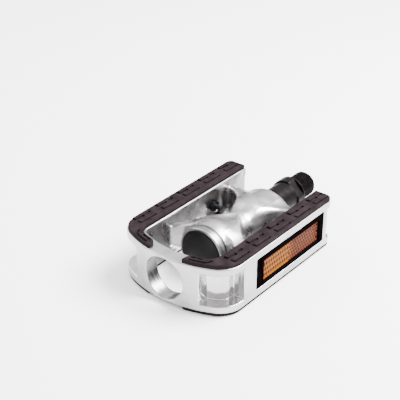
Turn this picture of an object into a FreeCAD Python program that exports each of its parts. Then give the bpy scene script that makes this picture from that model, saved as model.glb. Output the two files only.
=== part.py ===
import FreeCAD, Part
import math
import os

os.makedirs("parts", exist_ok=True)

V = FreeCAD.Vector

# The origin is on the spindle's axis, at the shoulder that seats on the crank arm.
# +X runs along the spindle into the crank, +Y to the rear rail, +Z up. Millimetres.
X_AXIS = V(1, 0, 0)
Y_AXIS = V(0, 1, 0)
CENTRE = V(0, 0, 0)

# ---- Spindle, with a crank thread of 9/16 in x 20 threads per inch ----
thread_r = 7.144
thread_len = 13.3
thread_lead_in = 0.9
collar_r = 9.1
collar_len = 6.7
collar_rim = 1.2
wrench_flat = 15.0
wrench_turn = -45.0
neck_r = 8.2
neck_gap = 0.4
shaft_r = 5.2
tip_r = 4.0
tip_start_x = -69.0
tip_end_x = -79.4
socket_flat = 6.0
socket_depth = 7.0
flat_run_out = 0.5
keyway_w = 1.6
keyway_depth = 0.8
keyway_run_in = 2.0

# ---- Bearings: loose balls between a pressed cup and a cone, one set at each end ----
ball_r = 1.5875
ball_circle_r = 6.4
ball_count = 11
race_gap = 0.03
inboard_balls_x = -29.6
outboard_balls_x = -70.2
cup_half_len = 3.0
cup_r = 9.3
cup_mouth_r = 7.95
cup_throat_r = 6.2
cup_mouth_end = -0.4
cup_throat_start = -1.2
cone_r = 7.5
cone_face = 1.3
cone_back = 4.6
cone_nose = 0.6
washer_t = 0.9
washer_r = 6.0
washer_tab_inset = 1.0
nut_len = 3.2
nut_flat = 11.0
press_gap = 0.02
running_gap = 0.05

# ---- Barrel ----
barrel_out_x = -81.9
barrel_in_x = -22.7
barrel_end_r = 13.4
barrel_in_r = 10.8
waist_r = 9.4
waist_x0 = -56.2
waist_x1 = -50.2
shoulder_out_x = -70.2
shoulder_in_x = -40.0
shoulder_in_r = 11.3
barrel_bore_r = 6.9
groove_x = -77.8
groove_w = 0.7
groove_depth = 0.35

# ---- Dust cap and seal ----
cap_r = 12.2
cap_recess = 1.4
cap_skirt_r = 10.6
cap_skirt_end_x = -76.4
cap_wall = 1.4
cap_dome = 1.6
cap_rim = 0.2
cap_end_gap = 0.2
seal_x0 = -25.4
seal_x1 = -22.3

# ---- Cage outline in plan ----
end_x = -111.7
end_arc_r = 62.7
corner_r = 14.0
side_y = 34.5
rail_end_x = -12.7
rail_end_r = 4.5
flange_z = 12.6
flange_t = 3.8
rail_w = 12.0
end_wall_t = 8.2
inner_corner_r = 2.0
tool_hole_r = 11.4

# ---- Corner pockets in the outboard end ----
corner_pocket_y = 19.5
corner_pocket_x = -91.2
corner_pocket_depth = 6.6

# ---- Reflector recess, and the web behind it ----
window_x0 = -81.2
window_x1 = -21.2
window_half_z = 8.9
window_depth = 4.2
web_t = 1.8
web_pocket_x0 = -76.2
web_pocket_lip_x0 = -84.0
web_pocket_x1 = -29.3
web_pocket_z = 11.4
web_pocket_slant_z = 4.0
web_pocket_ridge_x = -41.8
web_pocket_ridge_z = 5.2
web_pocket_end_r = 3.0
post_outer_x = -18.2
post_inner_x = -13.4

# ---- Diagonal arms: points in plan, (x, y), of the rear one ----
arm_half_z = 5.0
arm_end_x = -82.7
arm_end_y = 28.6
arm_corner = (-79.6, 23.7)
arm_shoulder = (-73.4, 12.6)
arm_root = (-71.0, 5.0)
arm_back_root = (-60.0, 7.0)
arm_back_mid = (-69.2, 18.8)
arm_back_end_x = -76.3

# ---- Cross-beam ----
beam_inboard_x = -21.8
beam_outboard_x = -30.7
beam_root_x = -45.0
beam_root_y = 7.0
beam_root_half_z = 8.6
beam_elbow_x = -35.0
beam_elbow_y = 12.4
beam_shoulder_y = 13.0
beam_shoulder_half_z = 7.0
beam_thin_y = 18.0
beam_thin_half_z = 4.0
beam_tip_half_z = 4.2
beam_in_rail = 1.5
beam_face_mid_y = 13.0
beam_face_mid_dip = 0.3
beam_face_dip = 1.1

# ---- Reflectors ----
housing_gap = 0.1
housing_sink = 0.3
housing_back_t = 1.4
lens_x0 = -74.4
lens_x1 = -25.4
lens_z0 = -6.8
lens_z1 = 4.9
lens_gap = 0.05
lens_t = 1.5
bolt_mid_x = -52.4
bolt_pitch = 33.6
bolt_z = -3.0
bolt_r = 1.5
bolt_head_r = 2.8
bolt_head_t = 0.8
bolt_end_y = 22.0
bolt_hole_r = 1.6
reflector_nut_flat = 5.5
reflector_nut_t = 2.4

# ---- Rubber pads, each held by moulded pegs ----
pad_t = 2.0
pad_outer_inset = 0.5
pad_inner_y = 23.3
pad_end_w = 6.2
pad_corner_r = 4.0
pad_tip_y = 9.4
pad_tip_slant = 0.2
pad_inboard_x = -12.9
pad_inboard_r = 3.6
pad_chamfer = 1.0
peg_r = 1.5
peg_len = 2.4
peg_gap = 0.05
peg_first_x = -84.0
peg_pitch = 30.0
peg_count = 3
peg_y = 30.2

# ---- Worked out from the sizes above ----
rail_inner_y = side_y - rail_w
end_wall_x = end_x + end_wall_t
pocket_z = flange_z - flange_t
window_y = side_y - window_depth
web_y = window_y - web_t
housing_face_y = side_y - housing_sink
washer_x = outboard_balls_x - cone_back
nut_x = washer_x - washer_t
neck_end_x = inboard_balls_x + cup_half_len + neck_gap

# ---- How far cutting solids run past what they cut, and what counts as the same place ----
past = 1.0
clear = 5.0
same = 0.01


# ------------------------------------------------------------------ plain shapes

def cylinder_x(radius, x0, x1):
    """A cylinder about the spindle's axis."""
    return Part.makeCylinder(radius, x1 - x0, V(x0, 0, 0), X_AXIS)


def cylinder_y(radius, x, y0, y1):
    """A cylinder across the pedal, at the height of the reflector bolts."""
    return Part.makeCylinder(radius, y1 - y0, V(x, y0, bolt_z), Y_AXIS)


def box(x0, x1, y0, y1, z0, z1):
    """A box between two corners."""
    return Part.makeBox(x1 - x0, y1 - y0, z1 - z0, V(x0, y0, z0))


def revolved(outline):
    """A solid turned about the spindle's axis from (x, radius) points."""
    wire = Part.makePolygon([V(x, r, 0) for x, r in outline + outline[:1]])
    return Part.Face(wire).revolve(CENTRE, X_AXIS, 360)


def hexagon_points(flat):
    """The corners of a hexagon as (across, up) pairs, closed."""
    corner = flat / math.sqrt(3)
    angles = [math.radians(a) for a in range(0, 361, 60)]
    return [(corner * math.cos(a), corner * math.sin(a)) for a in angles]


def hexagon_x(flat, x0, x1):
    """A hexagonal prism about the spindle's axis, by its size across flats."""
    wire = Part.makePolygon([V(x0, y, z) for y, z in hexagon_points(flat)])
    return Part.Face(wire).extrude(V(x1 - x0, 0, 0))


def hexagon_y(flat, x, y0, y1):
    """A hexagonal prism across the pedal, at the height of the reflector bolts."""
    wire = Part.makePolygon([V(x + a, y0, bolt_z + z) for a, z in hexagon_points(flat)])
    return Part.Face(wire).extrude(V(0, y1 - y0, 0))


def smooth(points, start=None, end=None):
    """An edge through points, with a direction at each end where one is given."""
    curve = Part.BSplineCurve()
    if start is None:
        curve.interpolate(points)
    else:
        curve.interpolate(Points=points, InitialTangent=start, FinalTangent=end)
    return curve.toShape()


def line(a, b):
    """A straight edge."""
    return Part.LineSegment(a, b).toShape()


def front_of(shape):
    """The matching shape on the front side, for one modelled on the rear side."""
    return shape.mirror(CENTRE, Y_AXIS)


def underside_of(shape):
    """The matching shape on the bottom face, for one modelled on the top face."""
    return shape.mirror(CENTRE, V(0, 0, 1))


# ------------------------------------------------------------------ cage casting

def plan(inset, x1, z0, z1):
    """The cage's outline, inset all round but for its inboard end at x1, as a prism."""
    arc_x = end_x + end_arc_r
    corner_y = side_y - corner_r
    corner_x = arc_x - math.sqrt((end_arc_r - corner_r) ** 2 - corner_y ** 2)
    r = corner_r - inset
    meet = math.atan2(corner_y, corner_x - arc_x)
    half = (meet + math.pi / 2) / 2
    rear = [
        V(x1, side_y - inset, z0),
        V(corner_x, side_y - inset, z0),
        V(corner_x + r * math.cos(half), corner_y + r * math.sin(half), z0),
        V(corner_x + r * math.cos(meet), corner_y + r * math.sin(meet), z0),
    ]
    front = [V(p.x, -p.y, p.z) for p in rear]
    edges = [
        line(rear[0], rear[1]),
        Part.Arc(rear[1], rear[2], rear[3]).toShape(),
        Part.Arc(rear[3], V(end_x + inset, 0, z0), front[3]).toShape(),
        Part.Arc(front[3], front[2], front[1]).toShape(),
        line(front[1], front[0]),
        line(front[0], rear[0]),
    ]
    return Part.Face(Part.Wire(edges)).extrude(V(0, 0, z1 - z0))


def inner_plan(inset, side, corner, z0, z1):
    """A prism between the rails, whose outboard end is an arc that keeps to the end's curve."""
    arc_x = end_x + end_arc_r
    side_x = arc_x - math.sqrt((end_arc_r - inset) ** 2 - side ** 2)
    a, b = V(side_x, side, z0), V(side_x, -side, z0)
    edges = [
        line(V(clear, side, z0), a),
        Part.Arc(a, V(end_x + inset, 0, z0), b).toShape(),
        line(b, V(clear, -side, z0)),
        line(V(clear, -side, z0), V(clear, side, z0)),
    ]
    prism = Part.Face(Part.Wire(edges)).extrude(V(0, 0, z1 - z0))
    return prism.makeFillet(corner, upright_edges(prism, side_x))


def upright_edges(solid, x, from_y=0.0):
    """The vertical edges of a solid at a given x, no nearer the middle than from_y."""
    found = []
    for edge in solid.Edges:
        a, b = edge.Vertexes[0].Point, edge.Vertexes[-1].Point
        vertical = abs(a.x - b.x) < same and abs(a.y - b.y) < same and abs(a.z - b.z) > same
        if vertical and abs(a.x - x) < same and abs(a.y) >= from_y:
            found.append(edge)
    return found


def frame_block():
    """The rails and end wall, at full height, before anything is cut from them."""
    block = plan(0, rail_end_x, -flange_z, flange_z)
    block = block.makeFillet(rail_end_r, upright_edges(block, rail_end_x))
    return block.cut(inner_plan(end_wall_t, rail_inner_y, inner_corner_r, -flange_z, flange_z))


def corner_pocket():
    """The recess outside the rear outboard corner, whose back follows the outline."""
    zone = box(end_x - clear, corner_pocket_x, corner_pocket_y, side_y + clear, -pocket_z, pocket_z)
    return zone.cut(plan(corner_pocket_depth, 0, -flange_z, flange_z))


def reflector_window():
    """The recess in the rear rail that takes the reflector."""
    return box(window_x0, window_x1, window_y, side_y + clear, -window_half_z, window_half_z)


def web_pocket():
    """The recess inside the rear rail that leaves a thin web and thin lips above and below it."""
    upper = [
        V(web_pocket_x1, 0, web_pocket_ridge_z),
        V(web_pocket_ridge_x, 0, web_pocket_z),
        V(web_pocket_lip_x0, 0, web_pocket_z),
        V(web_pocket_x0, 0, web_pocket_slant_z),
    ]
    points = upper + [V(p.x, 0, -p.z) for p in reversed(upper)]
    pocket = Part.Face(Part.makePolygon(points + points[:1])).extrude(V(0, web_y, 0))
    return pocket.makeFillet(web_pocket_end_r, upright_edges(pocket, web_pocket_x1, web_y - same))


def post_relief():
    """The space between the flanges beyond the slanted inboard post."""
    points = [
        V(post_outer_x, side_y + past, -pocket_z),
        V(post_inner_x, rail_inner_y, -pocket_z),
        V(post_inner_x, rail_inner_y - past, -pocket_z),
        V(clear, rail_inner_y - past, -pocket_z),
        V(clear, side_y + past, -pocket_z),
    ]
    return Part.Face(Part.makePolygon(points + points[:1])).extrude(V(0, 0, 2 * pocket_z))


def bolt_xs():
    """Where the reflector's two bolts stand along the rail."""
    return [bolt_mid_x - bolt_pitch / 2, bolt_mid_x + bolt_pitch / 2]


def peg_xs():
    """Where a pad's pegs stand along the rail."""
    return [peg_first_x + i * peg_pitch for i in range(peg_count)]


def peg_shapes(radius, depth):
    """The pegs of the rear top pad, or the holes that take them."""
    return [Part.makeCylinder(radius, depth, V(x, peg_y, flange_z - depth)) for x in peg_xs()]


def rail_cuts():
    """Everything that is cut from the rear rail and its outboard corner."""
    cuts = [corner_pocket(), reflector_window(), web_pocket(), post_relief()]
    cuts += [cylinder_y(bolt_hole_r, x, web_y - past, window_y + past) for x in bolt_xs()]
    holes = peg_shapes(peg_r + peg_gap, peg_len + peg_gap)
    cuts += holes + [underside_of(h) for h in holes]
    return cuts


def barrel_skin():
    """The barrel's waisted outside, solid."""
    top = [
        V(barrel_out_x, barrel_end_r, 0),
        V(shoulder_out_x, barrel_end_r, 0),
        V(waist_x0, waist_r, 0),
        V(waist_x1, waist_r, 0),
        V(shoulder_in_x, shoulder_in_r, 0),
        V(barrel_in_x, barrel_in_r, 0),
    ]
    waist = smooth(top[1:5], start=X_AXIS, end=X_AXIS)
    foot = [V(barrel_out_x, 0, 0), V(barrel_in_x, 0, 0)]
    edges = [
        line(foot[0], top[0]),
        line(top[0], top[1]),
        waist,
        line(top[4], top[5]),
        line(top[5], foot[1]),
        line(foot[1], foot[0]),
    ]
    skin = Part.Face(Part.Wire(edges)).revolve(CENTRE, X_AXIS, 360)
    ring = cylinder_x(barrel_end_r + past, groove_x, groove_x + groove_w)
    core = cylinder_x(barrel_end_r - groove_depth, groove_x, groove_x + groove_w)
    return skin.cut(ring.cut(core))


def barrel_bores():
    """The through bore, the two cup seats and the dust cap's steps."""
    outside = barrel_out_x - past
    cap_bore = cylinder_x(cap_skirt_r + press_gap, outside, cap_skirt_end_x + cap_end_gap)
    recess = cylinder_x(cap_r + press_gap, outside, barrel_out_x + cap_recess)
    seat = cup_r + press_gap
    outboard = cylinder_x(seat, outside, outboard_balls_x + cup_half_len + press_gap)
    inboard = cylinder_x(seat, inboard_balls_x - cup_half_len - press_gap, beam_inboard_x + past)
    through = cylinder_x(barrel_bore_r, outside, inboard_balls_x)
    return [through, outboard, inboard, cap_bore, recess]


def arm():
    """The rear diagonal arm, from the barrel to the outboard corner."""
    front_edge = [(arm_end_x, arm_end_y), arm_corner, arm_shoulder, arm_root]
    back_edge = [arm_back_root, arm_back_mid, (arm_back_end_x, arm_end_y)]
    points = [V(x, y, -arm_half_z) for x, y in front_edge]
    back = [V(x, y, -arm_half_z) for x, y in back_edge]
    edges = [line(a, b) for a, b in zip(points, points[1:])]
    edges += [line(points[-1], back[0]), Part.Arc(*back).toShape(), line(back[-1], points[0])]
    return Part.Face(Part.Wire(edges)).extrude(V(0, 0, 2 * arm_half_z))


def beam_plan():
    """The rear half of the cross-beam seen from above, as a tall prism."""
    z0 = -flange_z
    end_y = rail_inner_y + beam_in_rail
    root = V(beam_root_x, beam_root_y, z0)
    elbow = V(beam_elbow_x, beam_elbow_y, z0)
    rail_side = V(beam_outboard_x, rail_inner_y - past, z0)
    tip = V(beam_outboard_x, end_y, z0)
    far = V(beam_inboard_x, end_y, z0)
    face_mid = V(beam_inboard_x - beam_face_mid_dip, beam_face_mid_y, z0)
    near = V(beam_inboard_x - beam_face_dip, 0, z0)
    foot = V(beam_root_x, 0, z0)
    edges = [
        line(foot, root),
        smooth([root, elbow, rail_side], start=X_AXIS, end=Y_AXIS),
        line(rail_side, tip),
        line(tip, far),
        smooth([far, face_mid, near], start=V(0, -1, 0), end=V(-0.3, -1, 0)),
        line(near, foot),
    ]
    return Part.Face(Part.Wire(edges)).extrude(V(0, 0, 2 * flange_z))


def beam_side():
    """The cross-beam's thickness along its length: thick to its shoulder, then thin to the rail."""
    x0 = beam_root_x - past
    upper = [
        V(x0, beam_root_y, beam_root_half_z),
        V(x0, beam_shoulder_y, beam_shoulder_half_z),
        V(x0, beam_thin_y, beam_thin_half_z),
        V(x0, rail_inner_y + beam_in_rail, beam_tip_half_z),
    ]
    lower = [V(p.x, p.y, -p.z) for p in reversed(upper)]
    root = [V(x0, 0, -beam_root_half_z), V(x0, 0, beam_root_half_z)]
    edges = [
        smooth(upper),
        line(upper[-1], lower[0]),
        smooth(lower),
        line(lower[-1], root[0]),
        line(root[0], root[1]),
        line(root[1], upper[0]),
    ]
    return Part.Face(Part.Wire(edges)).extrude(V(beam_inboard_x - x0 + past, 0, 0))


def cage_casting():
    """The whole casting: frame, barrel, arms and cross-beam in one piece."""
    frame = frame_block()
    frame = frame.cut(rail_cuts() + [front_of(c) for c in rail_cuts()])
    frame = frame.cut(cylinder_x(tool_hole_r, end_x - past, end_wall_x + past))
    beam = beam_plan().common(beam_side())
    inside = [barrel_skin(), arm(), front_of(arm()), beam, front_of(beam)]
    return frame.fuse(inside).cut(barrel_bores()).removeSplitter()


# ------------------------------------------------------------------ rubber pads

def pad():
    """The rear top pad: along the rail, round the corner and part way along the end wall."""
    z0 = flange_z
    z1 = flange_z + pad_t
    body = plan(pad_outer_inset, pad_inboard_x, z0, z1)
    body = body.cut(inner_plan(pad_end_w, pad_inner_y, pad_corner_r, z0, z1))
    outside = end_x - past
    inside = end_x + 3 * pad_end_w
    slant_y = pad_tip_y + (inside - outside) * pad_tip_slant
    other_side = [
        V(outside, pad_tip_y, z0),
        V(inside, slant_y, z0),
        V(clear, slant_y, z0),
        V(clear, -side_y - past, z0),
        V(outside, -side_y - past, z0),
    ]
    body = body.cut(Part.Face(Part.makePolygon(other_side + other_side[:1])).extrude(V(0, 0, pad_t)))
    body = body.makeFillet(pad_inboard_r, upright_edges(body, pad_inboard_x))
    rim = [e for e in body.Edges if e.BoundBox.ZMin > z1 - same]
    body = body.makeChamfer(pad_chamfer, rim)
    return body.fuse(peg_shapes(peg_r, peg_len))


# ------------------------------------------------------------------ reflectors

def reflector_housing():
    """The rear reflector's black moulding, with seats for the lens and the bolt heads."""
    g = housing_gap
    shell = box(window_x0 + g, window_x1 - g, window_y, housing_face_y,
                -window_half_z + g, window_half_z - g)
    floor_y = window_y + housing_back_t
    shell = shell.cut(box(lens_x0, lens_x1, floor_y, side_y, lens_z0, lens_z1))
    seats = [cylinder_y(bolt_head_r + press_gap, x, window_y - past, window_y + bolt_head_t + press_gap)
             for x in bolt_xs()]
    return shell.cut(seats)


def reflector_lens():
    """The rear reflector's lens."""
    y0 = window_y + housing_back_t
    return box(lens_x0 + lens_gap, lens_x1 - lens_gap, y0, y0 + lens_t,
               lens_z0 + lens_gap, lens_z1 - lens_gap)


def reflector_bolts():
    """The rear reflector's two bolts, heads in the housing and ends inside the rail."""
    bolts = []
    for x in bolt_xs():
        head = cylinder_y(bolt_head_r, x, window_y, window_y + bolt_head_t)
        bolts.append(head.fuse(cylinder_y(bolt_r, x, bolt_end_y, window_y)).removeSplitter())
    return Part.makeCompound(bolts)


def reflector_nuts():
    """The nuts on the rear reflector's bolts, against the inside of the web."""
    nuts = []
    for x in bolt_xs():
        blank = hexagon_y(reflector_nut_flat, x, web_y - reflector_nut_t, web_y)
        nuts.append(blank.cut(cylinder_y(bolt_r + press_gap, x, bolt_end_y - past, web_y + past)))
    return Part.makeCompound(nuts)


# ------------------------------------------------------------------ bearings and spindle

def race(balls_x):
    """The ring that the balls sweep, with its running gap, as a cutter."""
    return Part.makeTorus(ball_circle_r, ball_r + race_gap, V(balls_x, 0, 0), X_AXIS)


def bearing_cup(balls_x, outward):
    """A pressed cup. outward is the sign of x from the balls to the barrel's nearer end."""
    profile = [
        (-cup_half_len, cup_r), (cup_half_len, cup_r), (cup_half_len, cup_mouth_r),
        (cup_mouth_end, cup_mouth_r), (cup_throat_start, cup_throat_r), (-cup_half_len, cup_throat_r),
    ]
    return revolved([(balls_x + outward * s, r) for s, r in profile]).cut(race(balls_x))


def bearing_balls(balls_x):
    """One set of loose balls."""
    balls = []
    for i in range(ball_count):
        turn = 2 * math.pi * i / ball_count
        centre = V(balls_x, ball_circle_r * math.cos(turn), ball_circle_r * math.sin(turn))
        balls.append(Part.makeSphere(ball_r, centre))
    return Part.makeCompound(balls)


def outboard_cone():
    """The adjusting cone on the spindle's small thread."""
    bore = tip_r + press_gap
    profile = [
        (cone_nose, bore), (cone_nose, shaft_r), (-cone_face, shaft_r),
        (-cone_face, cone_r), (-cone_back, cone_r), (-cone_back, bore),
    ]
    return revolved([(outboard_balls_x + s, r) for s, r in profile]).cut(race(outboard_balls_x))


def keyway():
    """The slot along the top of the spindle's tip that keys the tab washer."""
    half = keyway_w / 2
    return box(tip_end_x - past, washer_x + keyway_run_in, -half, half, tip_r - keyway_depth, tip_r + past)


def tab_washer():
    """The washer between cone and nut, with a tab in the keyway."""
    ring = cylinder_x(washer_r, nut_x, washer_x).cut(cylinder_x(tip_r + press_gap, nut_x, washer_x))
    half = keyway_w / 2 - press_gap
    tab = box(nut_x, washer_x, -half, half, tip_r - keyway_depth + press_gap, washer_r - washer_tab_inset)
    return ring.fuse(tab).removeSplitter()


def lock_nut():
    """The nut that holds the adjusting cone."""
    blank = hexagon_x(nut_flat, nut_x - nut_len, nut_x)
    return blank.cut(cylinder_x(tip_r + press_gap, nut_x - nut_len, nut_x))


def spindle():
    """The spindle, with its ground inboard cone, wrench flats and hex socket."""
    flats_x1 = -collar_rim
    body = revolved([
        (thread_len, 0), (thread_len, thread_r - thread_lead_in),
        (thread_len - thread_lead_in, thread_r), (0, thread_r), (0, collar_r),
        (-collar_len, collar_r), (-collar_len, neck_r), (neck_end_x, neck_r), (neck_end_x, cone_r),
        (inboard_balls_x + cone_face, cone_r), (inboard_balls_x + cone_face, shaft_r),
        (tip_start_x, shaft_r), (tip_start_x, tip_r), (tip_end_x, tip_r), (tip_end_x, 0),
    ])
    half = wrench_flat / 2
    flats_x0 = -collar_len - flat_run_out
    reach = collar_r + past
    for y in (half, -half - clear):
        flat = box(flats_x0, flats_x1, y, y + clear, -reach, reach)
        body = body.cut(flat.rotate(CENTRE, X_AXIS, wrench_turn))
    socket = hexagon_x(socket_flat, thread_len - socket_depth, thread_len + past)
    return body.cut([race(inboard_balls_x), keyway(), socket])


# ------------------------------------------------------------------ cap and seal

def dust_cap():
    """The domed cap, with a skirt that grips the barrel's bore."""
    seat_x = barrel_out_x + cap_recess
    apex_x = barrel_out_x - cap_dome
    dome_r = (cap_r ** 2 + (cap_dome - cap_rim) ** 2) / (2 * (cap_dome - cap_rim))
    dome = Part.makeSphere(dome_r, V(apex_x + dome_r, 0, 0))
    head = cylinder_x(cap_r, apex_x - past, seat_x).common(dome)
    skirt = cylinder_x(cap_skirt_r, seat_x, cap_skirt_end_x)
    hollow = cylinder_x(cap_skirt_r - cap_wall, seat_x - cap_wall / 2, cap_skirt_end_x + past)
    return head.fuse(skirt).cut(hollow).removeSplitter()


def dust_seal():
    """The rubber ring that fills the barrel's mouth round the neck."""
    ring = cylinder_x(cup_r, seal_x0, seal_x1)
    return ring.cut(cylinder_x(neck_r + running_gap, seal_x0, seal_x1))


# ------------------------------------------------------------------ all the nodes

nodes = {
    "cage_casting": cage_casting(),
    "spindle": spindle(),
    "bearing_cup_inboard": bearing_cup(inboard_balls_x, 1),
    "bearing_cup_outboard": bearing_cup(outboard_balls_x, -1),
    "bearing_balls_inboard": bearing_balls(inboard_balls_x),
    "bearing_balls_outboard": bearing_balls(outboard_balls_x),
    "bearing_cone_outboard": outboard_cone(),
    "tab_washer": tab_washer(),
    "lock_nut": lock_nut(),
    "dust_cap": dust_cap(),
    "dust_seal": dust_seal(),
}

rear_pieces = {
    "rubber_pad_top": pad(),
    "rubber_pad_bottom": underside_of(pad()),
    "reflector_housing": reflector_housing(),
    "reflector_lens": reflector_lens(),
    "reflector_bolts": reflector_bolts(),
    "reflector_nuts": reflector_nuts(),
}
for name, shape in rear_pieces.items():
    nodes[name + "_rear"] = shape
    nodes[name + "_front"] = front_of(shape)

for name, shape in nodes.items():
    shape.exportStep(os.path.join("parts", name + ".step"))
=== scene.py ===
import math

import bmesh
import bpy
import numpy as np
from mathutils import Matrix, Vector


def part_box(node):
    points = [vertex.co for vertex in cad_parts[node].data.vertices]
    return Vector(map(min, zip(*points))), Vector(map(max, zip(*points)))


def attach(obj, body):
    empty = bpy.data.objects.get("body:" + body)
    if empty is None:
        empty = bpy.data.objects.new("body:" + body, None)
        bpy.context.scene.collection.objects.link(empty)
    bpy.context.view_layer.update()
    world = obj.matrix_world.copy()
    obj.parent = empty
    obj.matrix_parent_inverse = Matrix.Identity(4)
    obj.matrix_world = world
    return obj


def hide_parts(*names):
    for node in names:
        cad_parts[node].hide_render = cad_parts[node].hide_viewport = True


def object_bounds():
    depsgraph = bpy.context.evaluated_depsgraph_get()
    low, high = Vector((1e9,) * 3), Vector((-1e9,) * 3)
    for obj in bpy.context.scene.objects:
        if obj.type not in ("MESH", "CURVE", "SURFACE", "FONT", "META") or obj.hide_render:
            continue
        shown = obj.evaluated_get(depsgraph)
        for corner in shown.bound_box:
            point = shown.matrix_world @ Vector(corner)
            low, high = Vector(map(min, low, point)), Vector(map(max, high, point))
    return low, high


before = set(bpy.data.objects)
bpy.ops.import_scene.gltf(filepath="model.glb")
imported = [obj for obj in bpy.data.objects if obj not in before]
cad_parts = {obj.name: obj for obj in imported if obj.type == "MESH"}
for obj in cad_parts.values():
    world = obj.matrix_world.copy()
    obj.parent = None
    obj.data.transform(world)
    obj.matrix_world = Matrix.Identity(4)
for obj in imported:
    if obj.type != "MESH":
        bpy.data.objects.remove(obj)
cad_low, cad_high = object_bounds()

# Shapes are worked out in millimetres, in the frame of the CAD model: +X along the spindle into the
# crank, +Y to the rear rail, +Z up. They become metres when a mesh is made.
MM = 0.001


def box_mm(node):
    """The lowest and highest corner of a CAD node, in millimetres."""
    low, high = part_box(node)
    return np.array(low) / MM, np.array(high) / MM


# ---- Places read from the frame ----
cage_low, cage_high = box_mm("cage_casting")
pad_high = box_mm("rubber_pad_top_rear")[1]
cap_low, cap_high = box_mm("dust_cap")
housing_low, housing_high = box_mm("reflector_housing_rear")
lens_low, lens_high = box_mm("reflector_lens_rear")
bolts_low, bolts_high = box_mm("reflector_bolts_rear")
nuts_low, nuts_high = box_mm("reflector_nuts_rear")
seal_low, seal_high = box_mm("dust_seal")
cup_in_low, cup_in_high = box_mm("bearing_cup_inboard")
cup_out_high = box_mm("bearing_cup_outboard")[1]
spindle_low, spindle_high = box_mm("spindle")

end_x = cage_low[0]
rail_end_x = cage_high[0]
side_y = cage_high[1]
barrel_end_r = cage_high[2]
pad_top = pad_high[2]
cap_apex_x = cap_low[0]

# The sizes below are those of the CAD model that its boxes don't give, and those of the cast blends,
# the tread and the prisms that only this model has. A name that ends in _r is a radius, in _t a
# thickness, in _w a width, and in _x, _y or _z a place along that axis.

# ---- Cage outline in plan ----
end_arc_r = 62.7
corner_r = 14.0
rail_end_r = 4.5
rail_w = 12.0
end_wall_t = 8.2
inner_corner_r = 2.0
pad_t = 2.0
flange_z = pad_top - pad_t
flange_t = 3.8
pocket_z = flange_z - flange_t
rail_inner_y = side_y - rail_w
tool_hole_r = 11.4
edge_r = 0.6
fine_edge_r = 0.4

# ---- Corner pockets, reflector windows and the pockets inside the rails ----
corner_pocket_y = 19.5
corner_pocket_x = -91.2
corner_pocket_depth = 6.6
corner_pocket_r = 0.5
window_depth = 4.2
window_corner_r = 0.9
housing_gap = 0.1
web_t = 1.8
web_pocket_x0 = -76.2
web_pocket_x1 = -29.3
web_pocket_z = 11.4
web_pocket_lip_x0 = -84.0
web_pocket_slant_z = 4.0
web_pocket_ridge_x = -41.8
web_pocket_ridge_z = 5.2
web_corner_r = 0.8
web_fillet_r = 2.6
post_outer = (-18.2, side_y)
post_inner = (-13.4, rail_inner_y)
post_fillet_r = 1.0

# ---- Barrel, arms and cross-beam ----
cap_dome = 1.6
cap_recess = 1.4
cap_skirt_r = 10.6
cap_wall = 1.4
cap_rim_h = 0.2
cap_edge_w = 0.45
# The cap's rounded edge, as (distance in from the dome, distance short of the rim).
cap_edge = ((0.12, 0.18), (0.3, 0.05), (0.5, 0.0))
cap_skirt_chamfer = 0.3
cap_skirt_gap = 0.2
seat_gap = 0.02
bore_overrun = 2.0
bore_edge_r = 0.35
cup_seat_r = cup_in_high[1] + seat_gap
barrel_out_x = cap_apex_x + cap_dome
barrel_in_x = -22.7
barrel_in_r = 10.8
waist_r = 9.4
shoulder_r = 11.3
shoulder_out_x = -70.2
waist_x0 = -56.2
waist_x1 = -50.2
shoulder_in_x = -40.0
barrel_bore_r = 6.9
groove_x = -77.45
groove_half_w = 0.5
groove_depth = 0.5
groove_corner = 0.12
groove_draft = 0.08
mouth_r = 0.6
mouth_chamfer = 0.2
turned_x = -76.6
turned_lap = 0.4
arm_root_z = 9.6
arm_fall = 0.29
arm_root_y = 8.0
arm_start_y = 4.0
# The distance to the arm's sloping top, as a share of the upright distance.
arm_top_share = 0.95
arm_end_y = 28.6
arm_front = ((-82.7, 28.6), (-73.4, 12.6))
arm_front_root = ((-73.4, 12.6), (-71.0, 5.0))
arm_back = ((-60.0, 7.0), (-76.3, 28.6))
arm_edge_r = 1.0
arm_blend_r = 4.0
beam_inboard_x = -21.8
beam_dip = 1.1
beam_outboard_x = -30.0
beam_curl = 0.05
beam_root_y = 7.0
beam_ridge_z = 8.8
beam_fall = 0.055
beam_more_fall = 0.037
beam_fall_y = 8.5
beam_edge_r = 0.5
beam_top_r = 2.4
beam_face_edge_r = 0.4
beam_lap = 1.5
beam_blend_r = 5.0
rail_blend_r = 1.2
wave_height = 0.02

# ---- Rubber pads ----
pad_outer_inset = 0.5
pad_inner_y = 23.3
pad_end_w = 6.2
pad_corner_r = 4.0
pad_tip_y = 9.4
pad_tip_slant = 0.2
pad_inboard_x = pad_high[0]
pad_inboard_r = 3.6
pad_round = 0.9
pad_inner_edge_r = 0.6
pad_tip_r = 2.0
pad_tip_reach = 3 * pad_end_w
peg_r = 1.5
peg_len = 2.4
peg_gap = 0.05
peg_overlap = 0.5
peg_xs = (-84.0, -54.0, -24.0)
peg_y = 30.2

# ---- Tread: grooves in each repeat, as (points, half width), from the repeat's own corner ----
tread_pitch = 17.65
tread_first_x = -96.0
tread_count = 5
tread_y = 29.3
tread_depth = 1.0
tread_edge_r = 0.18
tread_unit = (
    (((0.0, 3.6), (0.0, 1.4), (5.7, 1.4)), 0.78),
    (((8.4, 1.5), (10.9, 1.7)), 0.72),
    (((0.0, -0.4), (0.0, -2.6), (11.0, -2.7)), 0.5),
)
# The end wall's grooves are arcs about the end's own centre: radius, first and last angle, half width.
end_tread = (
    (58.1, 13.0, 15.0, 0.5),
    (58.1, 16.3, 18.3, 0.5),
    (60.5, 13.0, 21.0, 0.5),
)
end_hook = ((60.5, 21.0), (58.2, 23.3), 0.5)

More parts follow.
